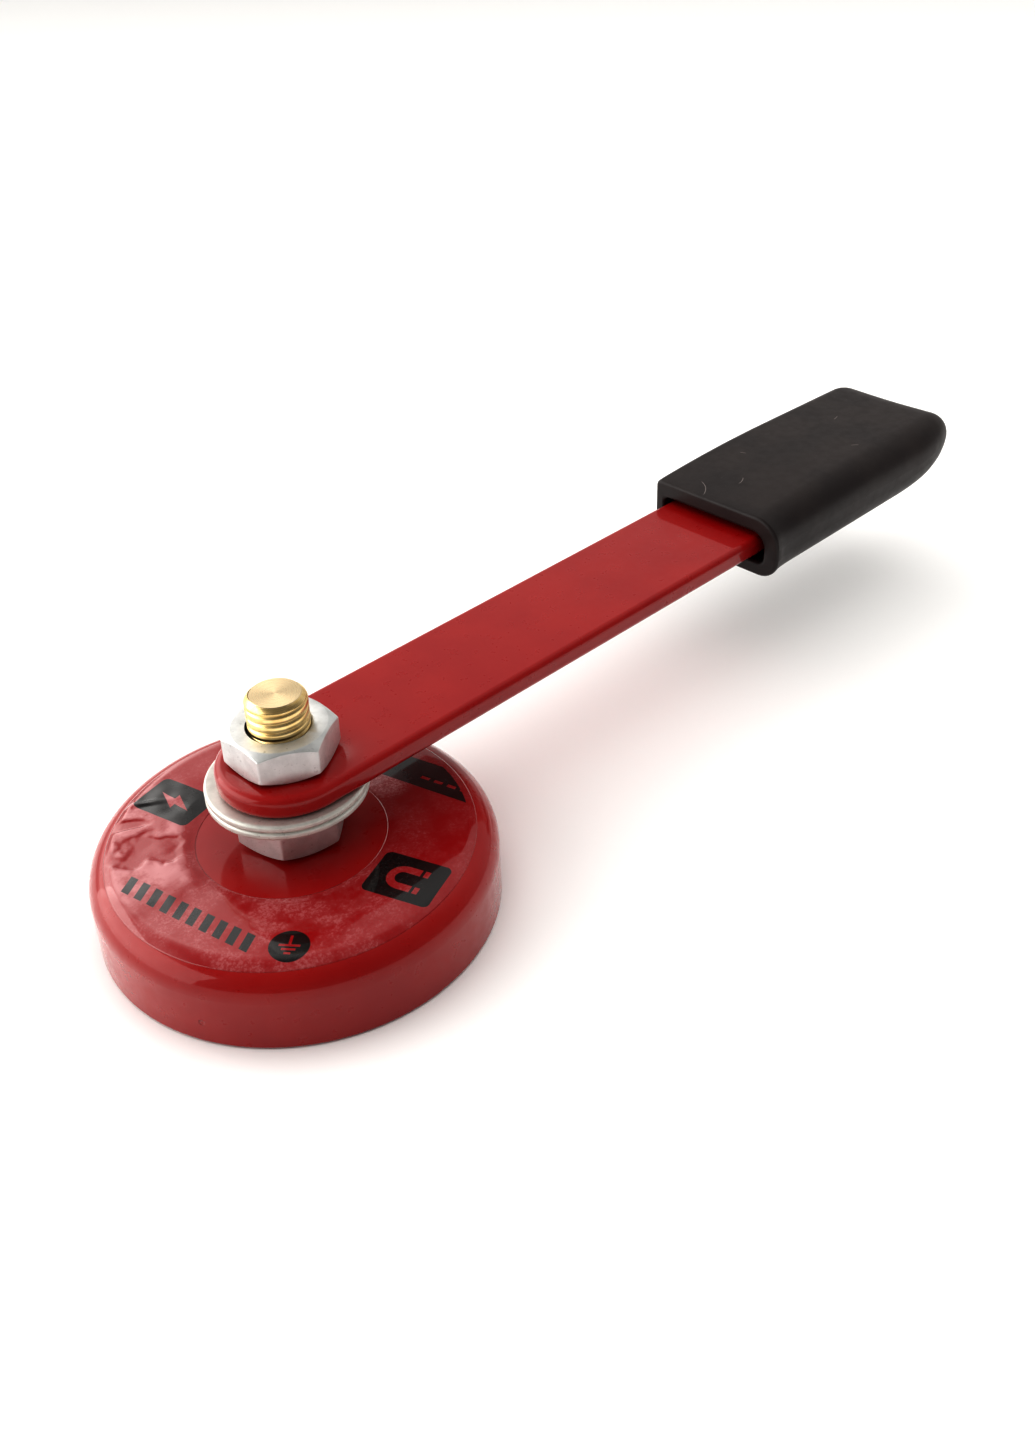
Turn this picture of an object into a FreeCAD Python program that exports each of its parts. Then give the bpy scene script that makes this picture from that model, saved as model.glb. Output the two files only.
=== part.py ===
import FreeCAD, Part
import Sketcher

import math
import os

# Magnetic welding earth clamp: a pot magnet with a brass contact stud, and a flat steel
# handle clamped on the stud between two washers and a nut.
# The origin is the centre of the working face, +Z runs up the stud, +X along the handle.

doc = FreeCAD.newDocument("earth_clamp")

# ---------------------------------------------------------------------------
# Driving dimensions, in millimetres and degrees
# ---------------------------------------------------------------------------

DIMENSIONS = {
    # pressed steel cup
    "cup_radius": 27.0,
    "cup_height": 11.4,
    "cup_wall": 2.0,
    "cup_roof": 2.0,
    "cup_shoulder": 4.0,
    "cup_inner_corner": 1.5,
    "cup_rim_round": 0.4,
    "cup_hole": 4.4,
    # ferrite ring and the resin round it
    "magnet_radius": 24.6,
    "magnet_bore": 11.0,
    "magnet_recess": 0.4,
    "magnet_edge": 0.5,
    "resin_roof_gap": 0.4,
    "resin_recess": 0.7,
    # brass contact stud
    "contact_radius": 9.0,
    "contact_edge": 0.5,
    "stud_radius": 4.0,
    "stud_top": 33.1,
    "stud_tip_chamfer": 0.7,
    "relief_depth": 0.4,
    "relief_width": 0.8,
    # hexagon nuts
    "nut_corner": 7.505,
    "nut_bore": 4.05,
    "nut_sink": 4.5,
    "nut_flat_circle": 6.25,
    "jam_nut_height": 6.8,
    "clamp_nut_height": 4.8,
    "jam_nut_turn": 44.0,
    "clamp_nut_turn": 32.0,
    # plain washers
    "washer_radius": 10.6,
    "washer_hole": 4.2,
    "washer_thickness": 1.1,
    "washer_round": 0.4,
    # handle bar
    "bar_half_width": 9.6,
    "bar_thickness": 3.2,
    "bar_reach": 138.0,
    "bar_hole": 4.25,
    "bar_edge_round": 1.0,
    "bar_corner_round": 3.0,
    # grip sleeve
    "sleeve_mouth": 86.2,
    "sleeve_end": 141.8,
    "sleeve_wall": 2.6,
    "sleeve_side_gap": 0.8,
    "sleeve_side_shift": -0.6,
    "sleeve_top_gap": 1.8,
    "sleeve_low_gap": 0.8,
    "sleeve_corner": 3.6,
    "sleeve_end_round": 3.2,
    # label film on the cup
    "film": 0.12,
    "label_radius": 24.3,
    "label_hole": 12.5,
    "label_shift_x": -0.7,
    "label_shift_y": -0.5,
}

sheet = doc.addObject("Spreadsheet::Sheet", "Sizes")
for row, (alias, value) in enumerate(DIMENSIONS.items(), start=1):
    sheet.set(f"A{row}", alias)
    sheet.set(f"B{row}", str(value))
    sheet.setAlias(f"B{row}", alias)
doc.recompute()


class Size:
    """A number together with the spreadsheet expression that gives it."""

    def __init__(self, value, text):
        self.value = value
        self.text = text

    @staticmethod
    def of(other):
        return other if isinstance(other, Size) else Size(float(other), f"{other}")

    def join(self, other, sign, value):
        return Size(value, f"({self.text} {sign} {Size.of(other).text})")

    def __add__(self, other):
        return self.join(other, "+", self.value + Size.of(other).value)

    def __sub__(self, other):
        return self.join(other, "-", self.value - Size.of(other).value)

    def __mul__(self, other):
        return self.join(other, "*", self.value * Size.of(other).value)

    def __neg__(self):
        return Size(-self.value, f"(0 - {self.text})")


class Sizes:
    """The driving dimensions as Size values, one attribute for each cell."""


size = Sizes()
for alias, value in DIMENSIONS.items():
    setattr(size, alias, Size(value, f"Sizes.{alias}"))

ZERO = Size(0.0, "0")
SIN_30 = 0.5
COS_30 = math.cos(math.pi / 6)
TAN_30 = math.tan(math.pi / 6)
NEAR = 0.01  # two levels this close are the same level
SMALLEST_CUT = 1.0  # a cut takes away at least this volume, in cubic millimetres

# Levels of the stack, from the working face up
cup_ceiling = size.cup_height - size.cup_roof
lower_washer_level = size.cup_height + size.jam_nut_height
upper_washer_level = lower_washer_level + size.washer_thickness
bar_level = upper_washer_level + size.washer_thickness
clamp_nut_level = bar_level + size.bar_thickness
clamp_nut_top = clamp_nut_level + size.clamp_nut_height
relief_level = clamp_nut_top - size.relief_width

# ---------------------------------------------------------------------------
# Helpers
# ---------------------------------------------------------------------------

parts = []


def new_body(name):
    """An empty body that becomes the node called name."""
    body = doc.addObject("PartDesign::Body", name)
    body.Label = name
    parts.append(body)
    return body


def new_sketch(body, role, offset=ZERO):
    """A sketch on one of the body's own origin planes, moved along its normal."""
    sketch = body.newObject("Sketcher::SketchObject", f"{body.Name}_sketch")
    plane = [feature for feature in body.Origin.OriginFeatures if feature.Role == role][0]
    sketch.AttachmentSupport = (plane, [""])
    sketch.MapMode = "FlatFace"
    if offset is not ZERO:
        sketch.setExpression("AttachmentOffset.Base.z", offset.text)
    return sketch


def fix_point(sketch, curve, end, corner):
    """Hold one end of a curve at the distances from the origin that corner gives."""
    for kind, distance in zip(("DistanceX", "DistanceY"), corner):
        distance = Size.of(distance)
        index = sketch.addConstraint(Sketcher.Constraint(kind, -1, 1, curve, end, distance.value))
        sketch.setExpression(f"Constraints[{index}]", distance.text)


def add_loop(sketch, corners):
    """A closed polygon of straight lines whose corners are pairs of sizes."""
    spots = [FreeCAD.Vector(Size.of(across).value, Size.of(up).value, 0) for across, up in corners]
    lines = []
    for start, end in zip(spots, spots[1:] + spots[:1]):
        lines.append(sketch.addGeometry(Part.LineSegment(start, end), False))
    for line, following in zip(lines, lines[1:] + lines[:1]):
        sketch.addConstraint(Sketcher.Constraint("Coincident", line, 2, following, 1))
    for line, corner in zip(lines, corners):
        fix_point(sketch, line, 1, corner)


def add_lines(sketch, ends):
    """Straight lines, each held at both ends, given as pairs of corners."""
    lines = []
    for corners in ends:
        start, end = (FreeCAD.Vector(across.value, up.value, 0) for across, up in corners)
        line = sketch.addGeometry(Part.LineSegment(start, end), False)
        fix_point(sketch, line, 1, corners[0])
        fix_point(sketch, line, 2, corners[1])
        lines.append(line)
    return lines


def add_circle(sketch, radius):
    """A circle round the sketch's origin."""
    round_origin = Part.Circle(FreeCAD.Vector(), FreeCAD.Vector(0, 0, 1), radius.value)
    circle = sketch.addGeometry(round_origin, False)
    sketch.addConstraint(Sketcher.Constraint("Coincident", circle, 3, -1, 1))
    index = sketch.addConstraint(Sketcher.Constraint("Radius", circle, radius.value))
    sketch.setExpression(f"Constraints[{index}]", radius.text)


def revolve(body, loops, kind="PartDesign::Revolution"):
    """Turn loops, drawn as (radius, height) corners, about the Z axis."""
    sketch = new_sketch(body, "XZ_Plane")
    for corners in loops:
        add_loop(sketch, corners)
    feature = body.newObject(kind, f"{body.Name}_turned")
    feature.Profile = sketch
    feature.ReferenceAxis = (sketch, ["V_Axis"])
    feature.Angle = 360.0
    doc.recompute()
    return feature


def pad(body, sketch, length):
    """Raise a sketch along its normal."""
    feature = body.newObject("PartDesign::Pad", f"{body.Name}_pad")
    feature.Profile = sketch
    feature.setExpression("Length", length.text)
    doc.recompute()
    return feature


def pocket(body, sketch, length):
    """Cut a sketch away along its normal, and make sure that it removed something."""
    before = body.Shape.Volume
    feature = body.newObject("PartDesign::Pocket", f"{body.Name}_pocket")
    feature.Profile = sketch
    feature.Reversed = True
    feature.setExpression("Length", length.text)
    doc.recompute()
    if body.Shape.Volume > before - SMALLEST_CUT:
        raise RuntimeError(f"{body.Label}: the pocket cut nothing")
    return feature


def blend_edges(body, kind, base, amount, chosen):
    """Fillet or chamfer the edges of base that the function chosen picks."""
    names = [f"Edge{number}" for number, edge in enumerate(base.Shape.Edges, start=1) if chosen(edge)]
    feature = body.newObject(f"PartDesign::{kind}", f"{body.Name}_{kind.lower()}")
    feature.Base = (base, names)
    feature.setExpression("Radius" if kind == "Fillet" else "Size", amount.text)
    doc.recompute()
    return feature


def circle_at(radius, level):
    """Picks circular edges about the Z axis by radius and height."""

    def chosen(edge):
        curve = edge.Curve
        if not isinstance(curve, Part.Circle):
            return False
        return abs(curve.Radius - radius.value) < NEAR and abs(curve.Center.z - level.value) < NEAR

    return chosen


def any_of(*tests):
    """Picks edges that pass at least one test."""
    return lambda edge: any(test(edge) for test in tests)


def place(body, level, turn=ZERO):
    """Lift a body to its level and turn it about Z."""
    body.Placement = FreeCAD.Placement(
        FreeCAD.Vector(0, 0, level.value), FreeCAD.Rotation(FreeCAD.Vector(0, 0, 1), turn.value)
    )
    body.setExpression("Placement.Base.z", level.text)
    if turn is not ZERO:
        body.setExpression("Placement.Rotation.Angle", turn.text)


# ---------------------------------------------------------------------------
# Magnet head
# ---------------------------------------------------------------------------


def make_cup():
    """Pressed steel cup, open underneath, with a rounded shoulder and a hole for the stud."""
    body = new_body("magnet_cup")
    inner = size.cup_radius - size.cup_wall
    shell = revolve(body, [[
        (size.cup_hole, cup_ceiling),
        (inner, cup_ceiling),
        (inner, ZERO),
        (size.cup_radius, ZERO),
        (size.cup_radius, size.cup_height),
        (size.cup_hole, size.cup_height),
    ]])
    shoulder = blend_edges(body, "Fillet", shell, size.cup_shoulder,
                           circle_at(size.cup_radius, size.cup_height))
    corner = blend_edges(body, "Fillet", shoulder, size.cup_inner_corner, circle_at(inner, cup_ceiling))
    blend_edges(body, "Fillet", corner, size.cup_rim_round,
                any_of(circle_at(size.cup_radius, ZERO), circle_at(inner, ZERO)))


def make_magnet():
    """Ferrite ring magnet, set back a little from the cup's rim."""
    body = new_body("ring_magnet")
    top = cup_ceiling - size.resin_roof_gap
    ring = revolve(body, [[
        (size.magnet_bore, size.magnet_recess),
        (size.magnet_radius, size.magnet_recess),
        (size.magnet_radius, top),
        (size.magnet_bore, top),
    ]])
    blend_edges(body, "Chamfer", ring, size.magnet_edge, any_of(
        circle_at(size.magnet_bore, size.magnet_recess), circle_at(size.magnet_radius, size.magnet_recess),
        circle_at(size.magnet_bore, top), circle_at(size.magnet_radius, top)))


def make_resin():
    """Potting resin over the magnet and down both of its sides."""
    body = new_body("potting_resin")
    inner = size.cup_radius - size.cup_wall
    top = cup_ceiling - size.resin_roof_gap
    edge = size.magnet_edge
    filling = revolve(body, [[
        (size.contact_radius, size.resin_recess + size.contact_edge),
        (size.magnet_bore, size.resin_recess + size.contact_edge),
        (size.magnet_bore, top - edge),
        (size.magnet_bore + edge, top),
        (size.magnet_radius - edge, top),
        (size.magnet_radius, top - edge),
        (size.magnet_radius, size.resin_recess + size.magnet_edge),
        (inner, size.resin_recess + size.magnet_edge),
        (inner, cup_ceiling),
        (size.contact_radius, cup_ceiling),
    ]])
    blend_edges(body, "Fillet", filling, size.cup_inner_corner, circle_at(inner, cup_ceiling))


def make_contact_stud():
    """Turned brass contact: a broad foot flush with the working face, and the stud above it.

    A narrow relief, hidden in the top of the clamp nut, parts the stud's free end from its shank.
    """
    body = new_body("contact_stud")
    relief = size.stud_radius - size.relief_depth
    turned = revolve(body, [[
        (ZERO, ZERO),
        (size.contact_radius, ZERO),
        (size.contact_radius, cup_ceiling),
        (size.stud_radius, cup_ceiling),
        (size.stud_radius, relief_level),
        (relief, relief_level),
        (relief, clamp_nut_top),
        (size.stud_radius, clamp_nut_top),
        (size.stud_radius, size.stud_top),
        (ZERO, size.stud_top),
    ]])
    tip = blend_edges(body, "Chamfer", turned, size.stud_tip_chamfer,
                      circle_at(size.stud_radius, size.stud_top))
    blend_edges(body, "Chamfer", tip, size.contact_edge, circle_at(size.contact_radius, ZERO))


def make_nut(name, height, level, turn):
    """Hexagon nut chamfered at both faces, with a countersunk bore."""
    body = new_body(name)
    sketch = new_sketch(body, "XY_Plane")
    half_flat = size.nut_corner * COS_30
    half_side = size.nut_corner * SIN_30
    add_loop(sketch, [
        (size.nut_corner, ZERO), (half_side, half_flat), (-half_side, half_flat),
        (-size.nut_corner, ZERO), (-half_side, -half_flat), (half_side, -half_flat),
    ])
    pad(body, sketch, height)

    clear = size.nut_corner + 1
    drop = (clear - size.nut_flat_circle) * TAN_30
    sink = size.nut_sink - size.nut_bore
    sink_drop = sink * TAN_30
    before = body.Shape.Volume
    revolve(body, [
        [(size.nut_flat_circle, height), (clear, height), (clear, height - drop)],
        [(size.nut_flat_circle, ZERO), (clear, ZERO), (clear, drop)],
        [(ZERO, ZERO), (size.nut_sink, ZERO), (size.nut_bore, sink_drop),
         (size.nut_bore, height - sink_drop), (size.nut_sink, height), (ZERO, height)],
    ], "PartDesign::Groove")
    if body.Shape.Volume > before - SMALLEST_CUT:
        raise RuntimeError(f"{name}: the groove cut nothing")
    place(body, level, turn)


def make_washer(name, level):
    """Stamped plain washer with rounded outer edges."""
    body = new_body(name)
    ring = revolve(body, [[
        (size.washer_hole, ZERO),
        (size.washer_radius, ZERO),
        (size.washer_radius, size.washer_thickness),
        (size.washer_hole, size.washer_thickness),
    ]])
    blend_edges(body, "Fillet", ring, size.washer_round, any_of(
        circle_at(size.washer_radius, ZERO), circle_at(size.washer_radius, size.washer_thickness)))
    place(body, level)


def make_label():
    """Off-centre ring of clear film that follows the cup's top and shoulder."""

    def cup_blank(name, extra):
        """The cup's outer form as a solid, grown by extra."""
        drum = doc.addObject("Part::Cylinder", f"{name}_drum")
        drum.setExpression("Radius", (size.cup_radius + extra).text)
        drum.setExpression("Height", (size.cup_height + extra).text)
        doc.recompute()
        top = circle_at(size.cup_radius + extra, size.cup_height + extra)
        radius = (size.cup_shoulder + extra).value
        rounded = doc.addObject("Part::Fillet", name)
        rounded.Base = drum
        rounded.Edges = [
            (number, radius, radius)
            for number, edge in enumerate(drum.Shape.Edges, start=1) if top(edge)
        ]
        return rounded

    def disc(name, radius):
        """A tall cylinder on the label's own centre."""
        cylinder = doc.addObject("Part::Cylinder", name)
        cylinder.setExpression("Radius", radius.text)
        cylinder.setExpression("Height", (size.cup_height * 2).text)
        cylinder.setExpression("Placement.Base.x", size.label_shift_x.text)
        cylinder.setExpression("Placement.Base.y", size.label_shift_y.text)
        return cylinder

    def combine(kind, name, base, tool):
        """A boolean of two solids."""
        result = doc.addObject(f"Part::{kind}", name)
        result.Base = base
        result.Tool = tool
        return result

    skin = combine("Cut", "label_skin", cup_blank("film_outside", size.film),
                   cup_blank("film_inside", ZERO))
    ring = combine("Cut", "label_outline", disc("label_disc", size.label_radius),
                   disc("label_opening", size.label_hole))
    label = combine("Common", "label_ring", skin, ring)
    label.Label = "label_ring"
    parts.append(label)


# ---------------------------------------------------------------------------
# Handle
# ---------------------------------------------------------------------------


def make_bar():
    """Flat steel bar with a round end about the stud and softened edges."""
    body = new_body("handle_bar")
    half = size.bar_half_width
    reach = size.bar_reach
    soft = size.bar_edge_round
    top = bar_level + size.bar_thickness
    outline = new_sketch(body, "XY_Plane", bar_level)
    add_loop(outline, [(ZERO, -half), (reach, -half), (reach, half), (ZERO, half)])
    strip = pad(body, outline, size.bar_thickness)

    def far_corner(edge):
        box = edge.BoundBox
        return box.ZLength > NEAR and box.XMin > reach.value - NEAR

    rounded = blend_edges(body, "Fillet", strip, size.bar_corner_round, far_corner)

    def rim(edge):
        box = edge.BoundBox
        faces = (bar_level.value, top.value)
        return box.XMax > NEAR and box.ZLength < NEAR and min(abs(box.ZMin - level) for level in faces) < NEAR

    blend_edges(body, "Fillet", rounded, soft, rim)

    # The round end is half a disc with the strip's own section
    section = new_sketch(body, "YZ_Plane")
    flats = add_lines(section, [
        ((ZERO, bar_level), (half - soft, bar_level)),
        ((half, bar_level + soft), (half, top - soft)),
        ((half - soft, top), (ZERO, top)),
        ((ZERO, top), (ZERO, bar_level)),
    ])
    for before, after, height, start in (
        (flats[0], flats[1], bar_level + soft, -math.pi / 2), (flats[1], flats[2], top - soft, 0.0),
    ):
        circle = Part.Circle(FreeCAD.Vector((half - soft).value, height.value, 0),
                             FreeCAD.Vector(0, 0, 1), soft.value)
        arc = section.addGeometry(Part.ArcOfCircle(circle, start, start + math.pi / 2), False)
        section.addConstraint(Sketcher.Constraint("Coincident", before, 2, arc, 1))
        section.addConstraint(Sketcher.Constraint("Coincident", arc, 2, after, 1))
        index = section.addConstraint(Sketcher.Constraint("Radius", arc, soft.value))
        section.setExpression(f"Constraints[{index}]", soft.text)
    half_disc = body.newObject("PartDesign::Revolution", "handle_bar_end")
    half_disc.Profile = section
    half_disc.ReferenceAxis = (section, ["V_Axis"])
    half_disc.Angle = 180.0
    doc.recompute()
    hole = new_sketch(body, "XY_Plane", bar_level)
    add_circle(hole, size.bar_hole)
    pocket(body, hole, size.bar_thickness)


def make_sleeve():
    """Dipped grip sleeve: slack on the bar at its open mouth and snug at its closed end."""
    body = new_body("grip_sleeve")
    half = size.bar_half_width
    bar_top = bar_level + size.bar_thickness
    slack = size.sleeve_side_gap
    wall = size.sleeve_wall
    mouth = (size.sleeve_side_shift - half - slack, bar_level - size.sleeve_low_gap,
             size.sleeve_side_shift + half + slack, bar_top + size.sleeve_top_gap)
    skin = (mouth[0] - wall, mouth[1] - wall, mouth[2] + wall, mouth[3] + wall)
    snug = (-half, bar_level, half, bar_top)

    def section(place, box):
        """A rectangle across X, from its low and high sizes along Y and Z."""
        sketch = new_sketch(body, "YZ_Plane", place)
        left, low, right, high = box
        add_loop(sketch, [(left, low), (right, low), (right, high), (left, high)])
        return sketch

    block = pad(body, section(size.sleeve_mouth, skin), size.sleeve_end - size.sleeve_mouth)

    def along_x(edge):
        return edge.BoundBox.XLength > NEAR

    def at_far_end(edge):
        return edge.BoundBox.XMin > size.sleeve_end.value - NEAR

    rounded = blend_edges(body, "Fillet", block, size.sleeve_corner, along_x)
    blend_edges(body, "Fillet", rounded, size.sleeve_end_round, at_far_end)
    before = body.Shape.Volume
    hollow = body.newObject("PartDesign::SubtractiveLoft", "grip_sleeve_hollow")
    hollow.Profile = section(size.sleeve_mouth, mouth)
    hollow.Sections = [section(size.bar_reach, snug)]
    hollow.Ruled = True
    doc.recompute()
    if body.Shape.Volume > before - SMALLEST_CUT:
        raise RuntimeError("grip_sleeve: the hollow cut nothing")


# ---------------------------------------------------------------------------
# Build, check and write
# ---------------------------------------------------------------------------

make_cup()
make_magnet()
make_resin()
make_contact_stud()
make_nut("jam_nut", size.jam_nut_height, size.cup_height, size.jam_nut_turn)
make_washer("lower_washer", lower_washer_level)
make_washer("upper_washer", upper_washer_level)
make_bar()
make_nut("clamp_nut", size.clamp_nut_height, clamp_nut_level, size.clamp_nut_turn)
make_sleeve()
make_label()
doc.recompute()

for item in doc.Objects:
    if "Invalid" in item.State or "Error" in item.State:
        raise RuntimeError(f"{item.Name} failed: {item.State}")

os.makedirs("parts", exist_ok=True)
for part in parts:
    shape = part.Shape
    if shape.isNull() or not shape.isValid() or len(shape.Solids) != 1:
        raise RuntimeError(f"{part.Label}: bad shape")
    box = shape.BoundBox
    shape.exportStep(f"parts/{part.Label}.step")
    print(f"{part.Label:15s} {shape.Volume:10.1f} mm3  x {box.XMin:7.2f} {box.XMax:7.2f}"
          f"  y {box.YMin:7.2f} {box.YMax:7.2f}  z {box.ZMin:6.2f} {box.ZMax:6.2f}")
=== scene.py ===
import math

import bmesh
import bpy
from mathutils import Matrix, Vector, noise


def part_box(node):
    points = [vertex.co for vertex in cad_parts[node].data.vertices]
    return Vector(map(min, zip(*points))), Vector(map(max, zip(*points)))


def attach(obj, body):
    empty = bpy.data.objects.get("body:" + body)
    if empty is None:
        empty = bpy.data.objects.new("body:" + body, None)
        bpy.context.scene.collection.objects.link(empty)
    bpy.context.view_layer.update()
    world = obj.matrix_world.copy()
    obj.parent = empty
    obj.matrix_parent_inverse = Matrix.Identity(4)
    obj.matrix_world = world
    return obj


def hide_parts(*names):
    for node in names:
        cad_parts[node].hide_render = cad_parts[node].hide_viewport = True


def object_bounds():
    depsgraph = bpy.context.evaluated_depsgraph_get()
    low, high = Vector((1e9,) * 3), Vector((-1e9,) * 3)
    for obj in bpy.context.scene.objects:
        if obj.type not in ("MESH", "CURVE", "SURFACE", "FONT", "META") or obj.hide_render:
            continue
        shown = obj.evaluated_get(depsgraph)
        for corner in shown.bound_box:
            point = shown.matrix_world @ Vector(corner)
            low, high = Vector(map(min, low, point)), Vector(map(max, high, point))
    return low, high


# Looks of a magnetic welding earth clamp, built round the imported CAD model.
# Every length below is in millimetres unless its name says metres.

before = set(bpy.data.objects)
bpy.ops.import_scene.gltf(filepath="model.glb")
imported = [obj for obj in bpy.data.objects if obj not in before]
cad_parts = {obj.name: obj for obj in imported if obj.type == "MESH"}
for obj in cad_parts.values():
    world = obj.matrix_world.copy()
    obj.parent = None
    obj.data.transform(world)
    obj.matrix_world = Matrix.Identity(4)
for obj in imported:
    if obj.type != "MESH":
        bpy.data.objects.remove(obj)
cad_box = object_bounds()

MM = 0.001
TURN = 2 * math.pi


def span(node):
    """Lowest and highest corner of a CAD node."""
    low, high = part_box(node)
    return low / MM, high / MM


cup_high = span("magnet_cup")[1]
stud_low, stud_high = span("contact_stud")
jam_low, jam_high = span("jam_nut")
clamp_low, clamp_high = span("clamp_nut")
bar_low, bar_high = span("handle_bar")
sleeve_low, sleeve_high = span("grip_sleeve")

CUP_RADIUS = 27.0
CUP_SHOULDER = 4.0
CUP_TOP = cup_high.z

PITCH = 1.25
THREAD_CLEARANCE = 0.05
STUD_RADIUS = 4.0
STUD_ROOT = 3.70
STUD_TIP_RADIUS = 3.3
STUD_TIP_RISE = 1.1
STUD_SEGMENTS = 144
FOOT_RADIUS = 9.0
FOOT_TOP = CUP_TOP - 2.0
NECK_TOP = FOOT_TOP + 0.4

NUT_FLATS = 13.0
NUT_CORNER_ROUND = 0.3
CLAMP_NUT_FLAT = 6.2
JAM_NUT_FLAT = 5.8
NUT_SINK = 4.35
NUT_SINK_RISE = -1.6
NUT_SEGMENTS = 288
NUT_CHAMFER = math.radians(30)
CLAMP_NUT_TURN = math.radians(32)
JAM_NUT_TURN = math.radians(44)

BAR_HOLE = 4.25
BAR_EDGE = 1.0
BAR_CORNER = 3.0
BAR_NARROWED = 0.9

LABEL_CENTRE = Vector((-0.7, -0.5))
LABEL_RADIUS = 24.3
LABEL_HOLE = 12.5
FILM = 0.07

SLEEVE_LIP = 0.5
SLEEVE_LIP_SHARE = 0.22
SLEEVE_END_DRAWN_IN = 0.5

WARM_WHITE = (1.0, 0.985, 0.96)
LAMP_AIM = Vector((0.03, 0, 0.01))


# ---------------------------------------------------------------------------
# Mesh helpers
# ---------------------------------------------------------------------------

WELD = 0.0008
SLIVER = 0.0004


def smooth_step(value, low, high):
    """0 at low and 1 at high, with an even start and stop."""
    share = min(1.0, max(0.0, (value - low) / (high - low)))
    return share * share * (3 - 2 * share)


def rounded(corners, closed=True, steps=5):
    """A flat outline with arcs at its corners, which are (across, up, radius)."""
    points = []
    count = len(corners)
    for index, (across, up, radius) in enumerate(corners):
        here = Vector((across, up))
        if radius == 0 or (not closed and index in (0, count - 1)):
            points.append(here)
            continue
        back = (Vector(corners[index - 1][:2]) - here).normalized()
        ahead = (Vector(corners[(index + 1) % count][:2]) - here).normalized()
        half = back.angle(ahead) / 2
        centre = here + (back + ahead).normalized() * radius / math.sin(half)
        start = here + back * radius / math.tan(half) - centre
        sweep = (here + ahead * radius / math.tan(half) - centre).angle_signed(start)
        for step in range(steps + 1):
            points.append(centre + Matrix.Rotation(sweep * step / steps, 2) @ start)
    return points


def skin(rings, ring_closed=True, rows_closed=False):
    """Points and faces of a surface through rings of points. A ring of one point is a tip."""
    points = [point for ring in rings for point in ring]
    rows = []
    start = 0
    for ring in rings:
        rows.append(range(start, start + len(ring)))
        start += len(ring)
    following = rows[1:] + (rows[:1] if rows_closed else [])
    faces = []
    for low, high in zip(rows, following):
        count = max(len(low), len(high))
        for i in range(count if ring_closed else count - 1):
            j = (i + 1) % count
            if len(low) == 1:
                faces.append((low[0], high[j], high[i]))
            elif len(high) == 1:
                faces.append((low[i], low[j], high[0]))
            else:
                faces.append((low[i], low[j], high[j], high[i]))
    return points, faces


def turned(profile, segments):
    """The surface that a (radius, height) profile makes about the Z axis."""
    rings = []
    for radius, height in profile:
        if radius == 0:
            rings.append([Vector((0, 0, height))])
            continue
        angles = [TURN * i / segments for i in range(segments)]
        rings.append([Vector((radius * math.cos(a), radius * math.sin(a), height)) for a in angles])
    return skin(rings)


def piece(name, parts, body, material, replaces=()):
    """One object from (points, faces) parts that meet at equal points."""
    mesh = bpy.data.meshes.new(name)
    shape = bmesh.new()
    for points, faces in parts:
        made = [shape.verts.new(Vector(point) * MM) for point in points]
        for face in faces:
            shape.faces.new([made[index] for index in face])
    bmesh.ops.remove_doubles(shape, verts=shape.verts, dist=WELD * MM)
    bmesh.ops.dissolve_degenerate(shape, edges=shape.edges, dist=SLIVER * MM)
    bmesh.ops.recalc_face_normals(shape, faces=shape.faces)
    for face in shape.faces:
        face.smooth = True
    shape.to_mesh(mesh)
    shape.free()
    mesh.materials.append(material)
    made = bpy.data.objects.new(name, mesh)
    bpy.context.collection.objects.link(made)
    weighted = made.modifiers.new("flat faces stay flat", "WEIGHTED_NORMAL")
    weighted.weight = 80
    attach(made, body)
    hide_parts(*replaces)
    return made


# ---------------------------------------------------------------------------
# Node helpers
# ---------------------------------------------------------------------------


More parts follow.
